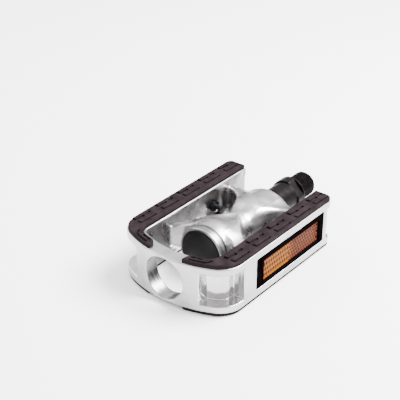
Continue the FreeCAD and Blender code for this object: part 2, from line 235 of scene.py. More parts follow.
# ---- Reflectors ----
bolt_head_r = 2.8
bolt_head_t = 0.8
bolt_chamfer = 0.2
bolt_point = 0.5
bolt_r = 1.5
bolt_pitch = 0.6
bolt_thread_depth = 0.28
bolt_ring_step = 0.1
bolt_hole_gap = 0.1
bolt_hole_edge_r = 0.15
nut_flat = 5.5
nut_gap = 0.03
# The nut's chamfer, as (distance in from its face, largest radius).
nut_chamfer = ((0.0, 2.62), (0.1, 2.8), (0.25, 2.98), (0.5, 3.2))
nut_countersink = 0.3
bolt_z = (bolts_low[2] + bolts_high[2]) / 2
bolt_xs = (bolts_low[0] + bolt_head_r, bolts_high[0] - bolt_head_r)

housing_corner_r = 0.8
housing_edge_r = 0.3
housing_inner_edge_r = 0.15
housing_recess_edge_r = 0.2
lens_gap = 0.05
lens_flare = 0.5
clip_x0 = lens_high[0] + 0.8
clip_gap = 0.1
clip_z0 = -8.0
clip_z1 = 4.5
clip_depth = 1.2
step_x0 = housing_low[0] + 1.1
step_x1 = lens_low[0] - 2.4
step_z = 2.0
step_h = 5.5
step_slant = 0.8
step_depth = 0.9
foot_gap = 0.6
foot_z0 = housing_low[2] + 1.2

rib_pitch = 2.0
row_pitch = 3.0
fine_row_pitch = 1.9
lens_relief = 0.42
lens_rim_w = 0.5
lens_zone_x = -51.5

# ---- Spindle ----
thread_r = 7.144
thread_pitch = 1.27
thread_depth = 0.62
thread_lead_in = 0.9
# Where the thread starts and how deep it starts, as shares of the lead-in.
lead_start = 0.6
lead_drop = 0.7
thread_run_out = 0.6
thread_relief = 0.5
thread_rings = 10
thread_root_r = thread_r - thread_depth
collar_r = spindle_high[2]
collar_len = 6.7
collar_rim = 1.2
collar_chamfer = 0.35
collar_back_chamfer = 0.3
wrench_half = 7.5
wrench_turn = math.radians(135)
neck_r = 8.2
neck_fillet = 0.05
neck_root = 0.5
neck_end_x = cup_in_high[0] + 0.4
cone_r = 7.5
seal_neck_gap = 0.06
shaft_r = 5.2
tip_r = 4.0
tip_start_x = -69.0
tip_chamfer = 0.4
socket_half = 3.0
socket_depth = 7.0
socket_cone = 1.2
socket_chamfer = 0.4
socket_mouth_r = 3.75
ball_r = 1.5875
ball_circle_r = 6.4
race_gap = 0.04
race_edge = 1.3
# A turned shape closes at the axis with a disc of this radius, and steps in radius over this length.
axis_r = 0.05
sliver = 0.02

# ---- How finely the moulded and cast pieces are meshed ----
cast_step = 0.46
tread_step = 0.3
housing_step = 0.22
lens_step = 0.17

spindle_sides = 120
cap_sides = 144
seal_sides = 96
barrel_end_sides = 160
bolt_sides = 28
nut_sides = 72
dome_parts = 24
mouth_parts = 5
race_parts = 12

# Edges whose faces turn by more than these angles, in degrees, are kept sharp.
prism_sharp = 20
barrel_end_sharp = 30
turned_sharp = 35
bolt_sharp = 40


# ------------------------------------------------------------------ shapes as distance fields
# A field gives the distance to a surface: below zero inside, above zero outside.

def meet(a, b, r):
    """What is inside both, with the edge between them rounded to radius r."""
    corner = np.hypot(np.maximum(a + r, 0), np.maximum(b + r, 0))
    return np.minimum(-r, np.maximum(a, b)) + corner


def join(a, b, r):
    """What is inside either, with a fillet of radius r where they meet."""
    corner = np.hypot(np.maximum(r - a, 0), np.maximum(r - b, 0))
    return np.maximum(r, np.minimum(a, b)) - corner


def cut(a, b, r):
    """a without b, with the edges of the cut rounded to radius r."""
    return meet(a, -b, r)


def between(v, v0, v1):
    """The slab from v0 to v1."""
    return np.maximum(v0 - v, v - v1)


def eased(v, v0, v1):
    """From 0 at v0 to 1 at v1, level at both ends."""
    t = np.clip((v - v0) / (v1 - v0), 0, 1)
    return t * t * (3 - 2 * t)


def beside(x, y, a, b):
    """The distance from the line through a and b, positive to its left."""
    length = math.hypot(b[0] - a[0], b[1] - a[1])
    ux, uy = (b[0] - a[0]) / length, (b[1] - a[1]) / length
    return ux * (y - a[1]) - uy * (x - a[0])


def capsule(x, y, a, b):
    """The distance from the straight stretch between a and b."""
    dx, dy = b[0] - a[0], b[1] - a[1]
    t = np.clip(((x - a[0]) * dx + (y - a[1]) * dy) / (dx * dx + dy * dy), 0, 1)
    return np.hypot(x - a[0] - t * dx, y - a[1] - t * dy)


# ------------------------------------------------------------------ from a field to a mesh

def skin(field, low, high, step):
    """Points and four-sided faces of the surface where the field is zero."""
    axes = [np.arange(a - step, b + 2 * step, step) for a, b in zip(low, high)]
    grid = [axes[0][:, None, None], axes[1][None, :, None], axes[2][None, None, :]]
    shape = tuple(len(a) for a in axes)
    value = np.broadcast_to(field(*grid), shape).astype(np.float32)
    inside = value < 0
    corners = np.array([(i, j, k) for i in (0, 1) for j in (0, 1) for k in (0, 1)])
    cells = tuple(n - 1 for n in shape)
    filled = np.zeros(cells, np.int8)
    for i, j, k in corners:
        filled += inside[i:i + cells[0], j:j + cells[1], k:k + cells[2]]
    mixed = (filled > 0) & (filled < 8)
    cell = np.argwhere(mixed)
    index = np.full(cells, -1, np.int32)
    index[mixed] = np.arange(len(cell))

    total = np.zeros((len(cell), 3))
    crossings = np.zeros(len(cell))
    for axis in range(3):
        along = np.eye(3, dtype=int)[axis]
        for start in corners[corners[:, axis] == 0]:
            a = value[tuple((cell + start).T)]
            b = value[tuple((cell + start + along).T)]
            crossed = (a < 0) != (b < 0)
            share = np.where(crossed, a / np.where(crossed, a - b, 1), 0)
            total += np.where(crossed[:, None], start + share[:, None] * along, 0)
            crossings += crossed
    origin = np.array([a[0] for a in axes])
    points = origin + (cell + total / crossings[:, None]) * step

    faces = []
    for axis in range(3):
        second, third = (axis + 1) % 3, (axis + 2) % 3
        ahead = [slice(None)] * 3
        behind = [slice(None)] * 3
        ahead[axis] = slice(1, None)
        behind[axis] = slice(None, -1)
        change = inside[tuple(behind)] != inside[tuple(ahead)]
        node = np.argwhere(change)
        node = node[(node[:, second] > 0) & (node[:, third] > 0)]
        node = node[(node[:, second] < cells[second]) & (node[:, third] < cells[third])]
        ring = []
        for back_second, back_third in ((1, 1), (0, 1), (0, 0), (1, 0)):
            spot = node.copy()
            spot[:, second] -= back_second
            spot[:, third] -= back_third
            ring.append(index[tuple(spot.T)])
        quad = np.stack(ring, 1)
        leaving = inside[tuple(node.T)]
        faces.append(np.where(leaving[:, None], quad, quad[:, ::-1]))
    return points, np.concatenate(faces)


def slope(field, points, reach=0.02):
    """The field's gradient at each point."""
    parts = []
    for axis in range(3):
        offset = np.eye(3)[axis] * reach
        parts.append((field(*(points + offset).T) - field(*(points - offset).T)) / (2 * reach))
    return np.stack(parts, 1)


def settle(field, points, step, rounds=3, least=0.04):
    """Moves the points onto the surface itself, by no more than one step of the grid."""
    start = points.copy()
    for _ in range(rounds):
        g = slope(field, points)
        size = np.maximum((g ** 2).sum(1), least)
        points = points - (field(*points.T) / size)[:, None] * g
        points = start + np.clip(points - start, -step, step)
    return points


def new_object(name, mesh, material, body, node):
    """Puts a mesh in the scene as a piece that stands for one CAD node."""
    piece = bpy.data.objects.new(name, mesh)
    bpy.context.scene.collection.objects.link(piece)
    mesh.materials.append(material)
    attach(piece, body)
    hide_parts(node)
    return piece


def mesh_from(name, points, faces):
    """A smooth-shaded mesh from points in millimetres."""
    mesh = bpy.data.meshes.new(name)
    mesh.from_pydata(points * MM, [], faces)
    mesh.polygons.foreach_set("use_smooth", np.ones(len(mesh.polygons), bool))
    mesh.update()
    return mesh


def moulded(name, field, low, high, step):
    """A mesh of a field's surface, shaded with the field's own normals."""
    points, faces = skin(field, low, high, step)
    points = settle(field, points, step)
    mesh = mesh_from(name, points, faces.tolist())
    normals = slope(field, points)
    normals /= np.maximum(np.linalg.norm(normals, axis=1), 1e-6)[:, None]
    mesh.normals_split_custom_set_from_vertices(normals)
    return mesh


# ------------------------------------------------------------------ cage casting

arc_x = end_x + end_arc_r
corner_y = side_y - corner_r
corner_x = arc_x - math.sqrt((end_arc_r - corner_r) ** 2 - corner_y ** 2)


def outline(x, y):
    """The cage's outer outline in plan, without its inboard end."""
    ay = np.abs(y)
    on_arc = np.hypot(x - arc_x, ay) - end_arc_r
    on_side = ay - side_y + 0 * x
    on_corner = np.hypot(x - corner_x, ay - corner_y) - corner_r
    past_side = x < corner_x
    past_arc = (corner_x - arc_x) * (ay - corner_y) - corner_y * (x - corner_x) <= 0
    return np.where(past_side, np.where(past_arc, on_corner, on_arc), on_side)


def opening(x, y, inset, half_w, r):
    """The space between the rails, whose outboard end keeps to the end's curve."""
    return meet(np.abs(y) - half_w + 0 * x, np.hypot(x - arc_x, y) - (end_arc_r - inset), r)


def corner_pocket(x, y, z):
    """The recess outside each outboard corner, whose back follows the outline."""
    across = np.maximum(corner_pocket_y - np.abs(y), x - corner_pocket_x)
    plan = meet(-(outline(x, y) + corner_pocket_depth), across, corner_pocket_r)
    return meet(plan, np.abs(z) - pocket_z, corner_pocket_r)


def window(x, y, z):
    """The recess that takes each reflector."""
    g = housing_gap
    ends = between(x, housing_low[0] - g, housing_high[0] + g)
    face = meet(ends, between(z, housing_low[2] - g, housing_high[2] + g), window_corner_r)
    return np.maximum(face, side_y - window_depth - np.abs(y))


def web_pocket(x, y, z):
    """The recess inside each rail that leaves a thin web, and thin lips above and below it."""
    az = np.abs(z)
    lip, foot = (web_pocket_lip_x0, web_pocket_z), (web_pocket_x0, web_pocket_slant_z)
    ridge, end = (web_pocket_ridge_x, web_pocket_z), (web_pocket_x1, web_pocket_ridge_z)
    outboard = np.minimum(web_pocket_x0 - x, -beside(x, az, lip, foot))
    inboard = np.maximum(x - web_pocket_x1, beside(x, az, ridge, end))
    side = meet(np.maximum(outboard, inboard), az - web_pocket_z, web_corner_r)
    return meet(side, np.abs(y) - (side_y - window_depth - web_t), web_fillet_r)


def post_relief(x, y, z):
    """The space between the flanges beyond each slanted inboard post."""
    return meet(-beside(x, np.abs(y), post_outer, post_inner), np.abs(z) - pocket_z, post_fillet_r)


def ring(x, y, z):
    """The rails and the end wall, with all that is cut from them."""
    plan = meet(outline(x, y), x - rail_end_x, rail_end_r)
    solid = meet(plan, np.abs(z) - flange_z, edge_r)
    solid = cut(solid, opening(x, y, end_wall_t, rail_inner_y, inner_corner_r), edge_r)
    solid = cut(solid, post_relief(x, y, z), edge_r)
    solid = cut(solid, web_pocket(x, y, z), fine_edge_r)
    solid = cut(solid, window(x, y, z), fine_edge_r)
    solid = cut(solid, corner_pocket(x, y, z), fine_edge_r)
    tool_hole = np.maximum(np.hypot(y, z) - tool_hole_r, x - arc_x)
    solid = cut(solid, tool_hole, edge_r)
    for hole_x in bolt_xs:
        hole = np.hypot(x - hole_x, z - bolt_z) - bolt_r - bolt_hole_gap
        solid = cut(solid, np.maximum(hole, rail_inner_y - np.abs(y)), bolt_hole_edge_r)
    for hole_x in peg_xs:
        hole = np.hypot(x - hole_x, np.abs(y) - peg_y) - peg_r - peg_gap
        solid = np.maximum(solid, -np.maximum(hole, flange_z - peg_len - peg_gap - np.abs(z)))
    return solid


def barrel_radius(x):
    """The barrel's waisted radius along its length."""
    r = barrel_end_r + (waist_r - barrel_end_r) * eased(x, shoulder_out_x, waist_x0)
    r = r + (shoulder_r - waist_r) * eased(x, waist_x1, shoulder_in_x)
    return r + (barrel_in_r - shoulder_r) * eased(x, shoulder_in_x, barrel_in_x)


def barrel(x, y, z):
    """The barrel's cast outside, up to the turned end."""
    lean = barrel_radius(x + 0.5) - barrel_radius(x - 0.5)  # over one millimetre
    wall = (np.hypot(y, z) - barrel_radius(x)) / np.sqrt(1 + lean ** 2)
    return np.maximum(np.maximum(wall, turned_x - x), x - barrel_in_x)


def arm(x, y, z):
    """Each diagonal arm, from high on the barrel down to the outboard corner."""
    ay = np.abs(y)
    front_side = -np.maximum(beside(x, ay, *arm_front), beside(x, ay, *arm_front_root))
    plan = np.maximum(front_side, -beside(x, ay, *arm_back))
    plan = np.maximum(plan, between(ay, arm_start_y, arm_end_y))
    half_z = arm_root_z - arm_fall * np.clip(ay - arm_root_y, 0, None)
    return meet(plan, (np.abs(z) - half_z) * arm_top_share, arm_edge_r)


def beam_face_x(ay):
    """Where the cross-beam's inboard face stands, from the barrel out to the rails."""
    return beam_inboard_x - beam_dip * (1 - eased(ay, 0, rail_inner_y))


def beam(x, y, z):
    """The cross-beam: its outboard edge is a swept hollow, and its top falls away inboard."""
    ay = np.abs(y)
    spread = rail_inner_y - np.clip(ay, beam_root_y, rail_inner_y)
    ridge_x = beam_outboard_x - beam_curl * spread ** 2
    hollow_side = (ridge_x - x) / np.sqrt(1 + (2 * beam_curl * spread) ** 2)
    plan = meet(hollow_side, x - beam_face_x(ay), beam_edge_r)
    plan = np.maximum(plan, ay - rail_inner_y - beam_lap)
    fall = beam_fall + beam_more_fall * np.clip(ay - beam_fall_y, 0, None)
    half_z = beam_ridge_z - fall * np.clip(x - ridge_x, 0, None)
    return meet(plan, (np.abs(z) - half_z) / np.sqrt(1 + fall ** 2), beam_top_r)


def bores(x, y, z):
    """The through bore, the cup seats and the dust cap's steps."""
    rho = np.hypot(y, z)
    outside = barrel_out_x - bore_overrun - x
    inboard = np.maximum(rho - cup_seat_r, cup_in_low[0] - seat_gap - x)
    outboard = np.maximum(rho - cup_seat_r, x - cup_out_high[0] - seat_gap)
    skirt = np.maximum(rho - cap_skirt_r - seat_gap, x - cap_high[0] - cap_skirt_gap)
    recess = np.maximum(rho - cap_high[1] - seat_gap, x - barrel_out_x - cap_recess)
    from_cap = np.minimum(np.minimum(outboard, skirt), recess)
    from_cap = np.maximum(np.minimum(from_cap, rho - barrel_bore_r), outside)
    return np.minimum(np.maximum(from_cap, x - seal_low[0]), inboard)


def waves(x, y, z):
    """The slight unevenness that polishing leaves, as waves whose rates never repeat together."""
    first = np.sin(x * 0.71 + 1.3 * np.sin(y * 0.23)) * np.sin(z * 0.57 + y * 0.31)
    second = np.sin(y * 0.63 + x * 0.19) * np.sin(x * 0.41 - z * 0.49 + 2.0)
    return wave_height * (first + second)


def casting(x, y, z):
    """The whole casting, with its cast blends."""
    middle = join(barrel(x, y, z), beam(x, y, z), beam_blend_r)
    middle = meet(middle, x - beam_face_x(np.abs(y)), beam_face_edge_r)
    middle = join(middle, arm(x, y, z), arm_blend_r)
    whole = join(ring(x, y, z), middle, rail_blend_r)
    return cut(whole + waves(x, y, z), bores(x, y, z), bore_edge_r)


# ------------------------------------------------------------------ rubber pads

def pad_plan(x, y):
    """The rear pad from above."""
    plan = meet(outline(x, y) + pad_outer_inset, x - pad_inboard_x, pad_inboard_r)
    plan = cut(plan, opening(x, y, pad_end_w, pad_inner_y, pad_corner_r), pad_inner_edge_r)
    tip = pad_tip_y + (x - end_x) * pad_tip_slant
    tip = np.minimum(tip, pad_tip_y + pad_tip_reach * pad_tip_slant)
    return meet(plan, tip - y, pad_tip_r)


def stroke(x, y, points, half_w):
    """A groove along straight stretches between points, in plan."""
    runs = [capsule(x, y, a, b) for a, b in zip(points, points[1:])]
    return np.minimum.reduce(np.broadcast_arrays(*runs)) - half_w


def end_point(r, turn):
    """A point on the end wall by its radius and its angle from the middle, in degrees."""
    return arc_x - r * math.cos(math.radians(turn)), r * math.sin(math.radians(turn))


def end_groove(x, ay, r, turn0, turn1, half_w):
    """A groove that follows the end's curve between two angles, in plan."""
    turn = np.clip(np.arctan2(ay, arc_x - x), math.radians(turn0), math.radians(turn1))
    return np.hypot(x - arc_x + r * np.cos(turn), ay - r * np.sin(turn)) - half_w


def tread(x, y, side):
    """A pad's grooves in plan. The rail's run the same way on both sides; side is the sign of y."""
    grooves = []
    for i in range(tread_count):
        u, v = x - tread_first_x - i * tread_pitch, y - side * tread_y
        grooves += [stroke(u, v, points, half_w) for points, half_w in tread_unit]
    ay = np.abs(y)
    grooves += [end_groove(x, ay, *groove) for groove in end_tread]
    hook_start, hook_end, half_w = end_hook
    grooves.append(stroke(x, ay, (end_point(*hook_start), end_point(*hook_end)), half_w))
    return np.minimum.reduce(np.broadcast_arrays(*grooves))


def pad(x, y, z, side):
    """A top pad with its grooves and pegs, on the side given by the sign of y."""
    ay = side * y
    body = meet(pad_plan(x, ay), z - pad_top, pad_round)
    body = np.maximum(body, flange_z - z)
    body = cut(body, np.maximum(tread(x, y, side), pad_top - tread_depth - z), tread_edge_r)
    for peg_x in peg_xs:
        peg = np.hypot(x - peg_x, ay - peg_y) - peg_r
        peg = np.maximum(np.maximum(peg, flange_z - peg_len - z), z - flange_z - peg_overlap)
        body = np.minimum(body, peg)
    return body


# ------------------------------------------------------------------ reflectors

def housing(x, y, z):
    """The rear reflector's moulding: a frame with a clip at one end and a step at the other."""
    low, high = housing_low, housing_high
    plan = meet(between(x, low[0], high[0]), between(z, low[2], high[2]), housing_corner_r)
    body = meet(plan, between(y, low[1], high[1]), housing_edge_r)
    lens_space = meet(between(x, lens_low[0] - lens_gap, lens_high[0] + lens_gap),
                      between(z, lens_low[2] - lens_gap, lens_high[2] + lens_gap), housing_edge_r)
    flare = np.clip(y - lens_high[1], 0, None) * lens_flare
    body = cut(body, np.maximum(lens_space - flare, lens_low[1] - y), housing_inner_edge_r)
    slot = meet(between(x, lens_high[0] + clip_gap, clip_x0), between(z, clip_z0, clip_z1),
                housing_recess_edge_r)
    body = cut(body, np.maximum(slot, high[1] - clip_depth - y), housing_inner_edge_r)
    step_floor = high[1] - step_depth - y
    ledge = np.maximum(between(x, step_x0, step_x1), step_z - (x - step_x0) * step_slant - z)
    ledge = np.maximum(ledge, np.maximum(step_floor, z - step_z - step_h))
    body = cut(body, ledge, housing_recess_edge_r)
    foot = np.maximum(between(x, step_x1, lens_low[0] - foot_gap),
                      between(z, foot_z0, step_z - foot_gap))
    body = cut(body, np.maximum(foot, step_floor), housing_recess_edge_r)
    for bolt_x in bolt_xs:
        seat = np.maximum(np.hypot(x - bolt_x, z - bolt_z) - bolt_head_r - seat_gap,
                          y - low[1] - bolt_head_t - seat_gap)
        body = np.maximum(body, -seat)
    return body


def zigzag(v):
    """A triangle wave of period 1, from 0 to 1."""
    return np.abs((v % 1) * 2 - 1)


def lens_height(x, z):
    """The lens's prisms, 0 in the valleys and 1 on the peaks: ribs in rows, finer past the middle."""
    rows = np.where(x < lens_zone_x, z / row_pitch, z / fine_row_pitch)
    ribs = x / rib_pitch + 0.5 * np.floor(rows)
    return 0.5 * zigzag(rows) + 0.5 * zigzag(ribs)


def lens_mesh(name, side):
    """A lens with raised prisms, as a closed plate with a flat rim. side is the sign of y."""
    low, high = lens_low, lens_high
    xs = np.linspace(low[0], high[0], round((high[0] - low[0]) / lens_step) + 1)
    zs = np.linspace(low[2], high[2], round((high[2] - low[2]) / lens_step) + 1)
    x, z = np.meshgrid(xs, zs, indexing="ij")
    rim = np.minimum(np.minimum(x - low[0], high[0] - x), np.minimum(z - low[2], high[2] - z))
    prisms = lens_height(x, z)
    height = np.where(rim < lens_rim_w, 1.0, prisms)
    front = np.stack([x, side * (high[1] - lens_relief * (1 - height)), z], -1).reshape(-1, 3)
    edge_x, edge_z = len(xs), len(zs)
    spots = np.arange(edge_x * edge_z).reshape(edge_x, edge_z)
    quads = np.stack([spots[:-1, :-1], spots[1:, :-1], spots[1:, 1:], spots[:-1, 1:]], -1)
    loop = np.concatenate([spots[:, 0], spots[-1, 1:], spots[-2::-1, -1], spots[0, -2:0:-1]])
    back = front[loop].copy()
    back[:, 1] = side * low[1]
    first = len(front)
    faces = quads.reshape(-1, 4).tolist()
    for i in range(len(loop)):
        j = (i + 1) % len(loop)
        faces.append([int(loop[j]), int(loop[i]), first + i, first + j])
    faces.append([first + i for i in range(len(loop))])
    mesh = mesh_from(name, np.concatenate([front, back]), faces)
    outward(mesh, prism_sharp)
    # The prisms' heights, which the lens material turns into painted highlights on the peaks and painted
    # shade in the valleys.
    tone = mesh.attributes.new("prism", "FLOAT", "POINT")
    tone.data.foreach_set("value", np.concatenate([prisms.ravel(), np.zeros(len(back))]))
    return mesh


# ------------------------------------------------------------------ turned pieces

def thread_form(x, angles, major, pitch, depth):
    """The radius round a right-hand thread at one place along it."""
    return major - depth * zigzag(x / pitch - angles / (2 * math.pi))


def hexagon(angles, half_flat):
    """The radius round a hexagon, by half its size across flats."""
    return half_flat / np.cos((angles % (math.pi / 3)) - math.pi / 6)


def turned(profile, segments, closed=False):
    """Points and faces round X from (x, radius) pairs, where a radius is a number or one per angle."""
    angles = np.arange(segments) * 2 * math.pi / segments
    rings = []
    for x, radius in profile:
        r = np.broadcast_to(radius(angles) if callable(radius) else radius, segments)
        rings.append(np.stack([np.full(segments, x), r * np.cos(angles), r * np.sin(angles)], 1))
    i = np.arange(segments)
    j = (i + 1) % segments
    last = len(rings) if closed else len(rings) - 1
    faces = []
    for a in range(last):
        b = (a + 1) % len(rings)
        near, far = a * segments, b * segments
        faces += np.stack([near + i, near + j, far + j, far + i], 1).tolist()
    if not closed:
        faces += [i[::-1].tolist(), (i + (len(rings) - 1) * segments).tolist()]
    return np.concatenate(rings), faces


def outward(mesh, sharp_angle):
    """Turns the faces outward and keeps edges above an angle, in degrees, sharp."""
    shape = bmesh.new()
    shape.from_mesh(mesh)
    bmesh.ops.recalc_face_normals(shape, faces=shape.faces)
    shape.to_mesh(mesh)
    shape.free()
    mesh.set_sharp_from_angle(angle=math.radians(sharp_angle))


def across_pedal(shape, side):
    """A turned shape at both bolts' places, its axis turned from X to Y. side is the sign of y."""
    found, its_faces = shape
    points, faces = [], []
    for count, bolt_x in enumerate(bolt_xs):
        points.append(np.stack([bolt_x + found[:, 1], side * found[:, 0], bolt_z + found[:, 2]], 1))
        faces += [[k + count * len(found) for k in face] for face in its_faces]
    return np.concatenate(points), faces


def with_flats(radius):
    """A collar's radius with its two wrench flats."""
    def flatted(angles):
        across = np.maximum(np.abs(np.cos(angles - wrench_turn)), 0.01)
        return np.minimum(radius, wrench_half / across)
    return flatted


def spindle_profile():
    """The spindle from its socket's floor, over its threaded end, to its tip."""
    end = spindle_high[0]
    floor = end - socket_depth

    def hexed(angles):
        return hexagon(angles, socket_half)

    points = [(floor - socket_cone, axis_r), (floor, hexed), (end - socket_chamfer, hexed)]
    points += [(end, socket_mouth_r), (end, thread_r - thread_lead_in)]
    for i in range(int((end - thread_lead_in - thread_run_out) / thread_pitch * thread_rings) + 1):
        x = end - thread_lead_in * lead_start - i * thread_pitch / thread_rings
        lead = min(thread_r, thread_r - thread_lead_in * lead_drop + i * thread_pitch / thread_rings)
        points.append((x, lambda angles, x=x, lead=lead: np.minimum(
            thread_form(x, angles, thread_r, thread_pitch, thread_depth), lead)))
    points += [(thread_relief, thread_root_r), (0.0, thread_root_r), (0.0, collar_r - collar_chamfer)]
    points += [(-collar_chamfer, collar_r), (-collar_rim, collar_r)]
    points += [(-collar_rim - sliver, with_flats(collar_r))]
    points += [(-collar_len + collar_back_chamfer, with_flats(collar_r))]
    points += [(-collar_len, with_flats(collar_r - collar_back_chamfer))]
    points += [(-collar_len - sliver, neck_r + neck_fillet)]
    points += [(-collar_len - neck_root, neck_r), (neck_end_x, neck_r), (neck_end_x, cone_r)]
    balls_x = (cup_in_low[0] + cup_in_high[0]) / 2
    reach = ball_r + race_gap
    start, stop = math.acos(race_edge / reach), -math.asin((ball_circle_r - shaft_r) / reach) - math.pi
    for i in range(race_parts + 1):
        turn = start + (stop - start) * i / race_parts
        points.append((balls_x + reach * math.cos(turn), ball_circle_r + reach * math.sin(turn)))
    points += [(tip_start_x, shaft_r), (tip_start_x, tip_r), (spindle_low[0] + tip_chamfer, tip_r)]
    return points + [(spindle_low[0], tip_r - tip_chamfer), (spindle_low[0], axis_r)]


def cap_profile():
    """The dust cap's dome, rim, skirt and hollow."""
    seat = barrel_out_x + cap_recess
    cap_r = cap_high[1]
    drop = cap_dome - cap_rim_h
    dome_r = (cap_r ** 2 + drop ** 2) / (2 * drop)
    points = []
    for i in range(dome_parts + 1):
        r = axis_r + (cap_r - cap_edge_w) * i / dome_parts
        points.append((cap_apex_x + dome_r - math.sqrt(dome_r ** 2 - r ** 2), r))
    edge = points[-1][0]
    points += [(edge + along, cap_r - short) for along, short in cap_edge]
    points += [(seat, cap_r), (seat, cap_skirt_r), (cap_high[0] - cap_skirt_chamfer, cap_skirt_r)]
    inner = cap_skirt_r - cap_wall
    points += [(cap_high[0], cap_skirt_r - cap_skirt_chamfer), (cap_high[0], inner)]
    return points + [(seat - cap_wall / 2, inner), (seat - cap_wall / 2, axis_r)]


def barrel_end_profile():
    """The barrel's turned end: its rim, the groove round it, and the step that seats the dust cap."""
    outer, bore, recess = barrel_end_r, cap_skirt_r + seat_gap, cap_high[1] + seat_gap
    mouth, seat, back = barrel_out_x, barrel_out_x + cap_recess, turned_x + turned_lap
    near, far = groove_x - groove_half_w, groove_x + groove_half_w
    bottom = outer - groove_depth
    points = [(back, bore), (back, outer - 0.05), (far + groove_corner, outer)]
    points += [(far, outer - groove_corner), (far - groove_draft, bottom), (near + groove_draft, bottom)]
    points += [(near, outer - groove_corner), (near - groove_corner, outer), (mouth + mouth_r, outer)]
    for i in range(1, mouth_parts + 1):
        turn = math.radians(90 * i / mouth_parts)
        x = mouth + mouth_r - mouth_r * math.sin(turn)
        points.append((x, outer - mouth_r + mouth_r * math.cos(turn)))
    points += [(mouth, recess + mouth_chamfer), (mouth + mouth_chamfer, recess)]
    return points + [(seat, recess), (seat, bore)]


def seal_profile():
    """The dust seal, with a lip that stands a little proud round the neck."""
    outer, inner = seal_high[1], neck_r + seal_neck_gap
    back, face = seal_low[0], seal_high[0]
    points = [(back, inner), (back, outer), (face - 0.5, outer), (face - 0.35, outer - 0.15)]
    points += [(face - 0.35, inner + 0.6), (face - 0.08, inner + 0.45)]
    return points + [(face, inner + 0.25), (face - 0.05, inner)]


def bolt_shape():
    """One reflector bolt: a flat head and a threaded shank with a pointed end."""
    head, seat, end = bolts_high[1], bolts_high[1] - bolt_head_t, bolts_low[1]
    points = [(head, axis_r), (head, bolt_head_r - bolt_chamfer), (head - bolt_chamfer, bolt_head_r)]
    points += [(seat, bolt_head_r), (seat, bolt_r - bolt_chamfer)]
    for i in range(int((seat - end - bolt_point) / bolt_ring_step) + 1):
        x = seat - bolt_ring_step - i * bolt_ring_step
        points.append((x, lambda angles, x=x: thread_form(
            x, angles, bolt_r, bolt_pitch, bolt_thread_depth)))
    return turned(points + [(end, bolt_r - bolt_point), (end, axis_r)], bolt_sides)


def nut_shape():
    """One nut, with the round chamfers that its hexagon is cut with."""
    low, high = nuts_low[1], nuts_high[1]
    inner = bolt_r + nut_gap

    def chamfered(limit):
        return lambda angles: np.minimum(hexagon(angles, nut_flat / 2), limit)

    points = [(low + nut_countersink, inner), (low, inner + nut_countersink)]
    points += [(low + inset, chamfered(limit)) for inset, limit in nut_chamfer]
    points += [(high - inset, chamfered(limit)) for inset, limit in reversed(nut_chamfer)]
    points += [(high, inner + nut_countersink), (high - nut_countersink, inner)]
    return turned(points, nut_sides, closed=True)


# ------------------------------------------------------------------ materials

def new_material(name, colour, metallic, roughness):
    """A Principled material, with its node tree and shader."""
    material = bpy.data.materials.new(name)
    material.use_nodes = True
    tree = material.node_tree
    shader = tree.nodes["Principled BSDF"]
    shader.inputs["Base Color"].default_value = (*colour, 1)
    shader.inputs["Metallic"].default_value = metallic
    shader.inputs["Roughness"].default_value = roughness
    return material, tree, shader


def feed(tree, shader, colour, roughness, normal):
    """Links textures to the shader's colour, roughness and normal."""
    for name, output in (("Base Color", colour), ("Roughness", roughness), ("Normal", normal)):
        tree.links.new(output, shader.inputs[name])


def noise(tree, scale, detail, stretch=(1, 1, 1)):
    """A noise texture in the object's own space: its scale per metre, its octaves and its stretch."""
    place = tree.nodes.new("ShaderNodeTexCoord")
    mapping = tree.nodes.new("ShaderNodeMapping")
    mapping.inputs["Scale"].default_value = stretch
    texture = tree.nodes.new("ShaderNodeTexNoise")
    texture.inputs["Scale"].default_value = scale
    texture.inputs["Detail"].default_value = detail
    tree.links.new(place.outputs["Object"], mapping.inputs["Vector"])
    tree.links.new(mapping.outputs["Vector"], texture.inputs["Vector"])
    return texture.outputs["Fac"]


def ramp(tree, value, low, high, stops=(0.3, 0.7)):
    """Turns a value between two stops into a number or colour between low and high."""
    if isinstance(low, tuple):
        node = tree.nodes.new("ShaderNodeValToRGB")
        node.color_ramp.elements[0].position = stops[0]
        node.color_ramp.elements[1].position = stops[1]
        node.color_ramp.elements[0].color = (*low, 1)
        node.color_ramp.elements[1].color = (*high, 1)
        tree.links.new(value, node.inputs["Fac"])
        return node.outputs["Color"]
    node = tree.nodes.new("ShaderNodeMapRange")
    node.inputs["From Min"].default_value = stops[0]
    node.inputs["From Max"].default_value = stops[1]
    node.inputs["To Min"].default_value = low
    node.inputs["To Max"].default_value = high
    tree.links.new(value, node.inputs["Value"])
    return node.outputs["Result"]


def bump(tree, height, strength, distance, before=None):
    """A bump node on a height, after another one if given."""
    node = tree.nodes.new("ShaderNodeBump")
    node.inputs["Strength"].default_value = strength
    node.inputs["Distance"].default_value = distance
    tree.links.new(height, node.inputs["Height"])
    if before is not None:
        tree.links.new(before, node.inputs["Normal"])
    return node.outputs["Normal"]


def aluminium():
    """Polished die casting: bright, a little wavy, with a fine matt grain."""
    material, tree, shader = new_material("polished_cast_aluminium", (0.4, 0.395, 0.39), 1.0, 0.24)
    colour = ramp(tree, noise(tree, 70, 4), (0.35, 0.34, 0.343), (0.47, 0.457, 0.461))
    wavy = bump(tree, noise(tree, 150, 2), 0.45, 0.0005)
    grain = bump(tree, noise(tree, 2600, 2), 0.04, 0.00004, wavy)
    feed(tree, shader, colour, ramp(tree, noise(tree, 140, 3), 0.22, 0.38), grain)
    return material


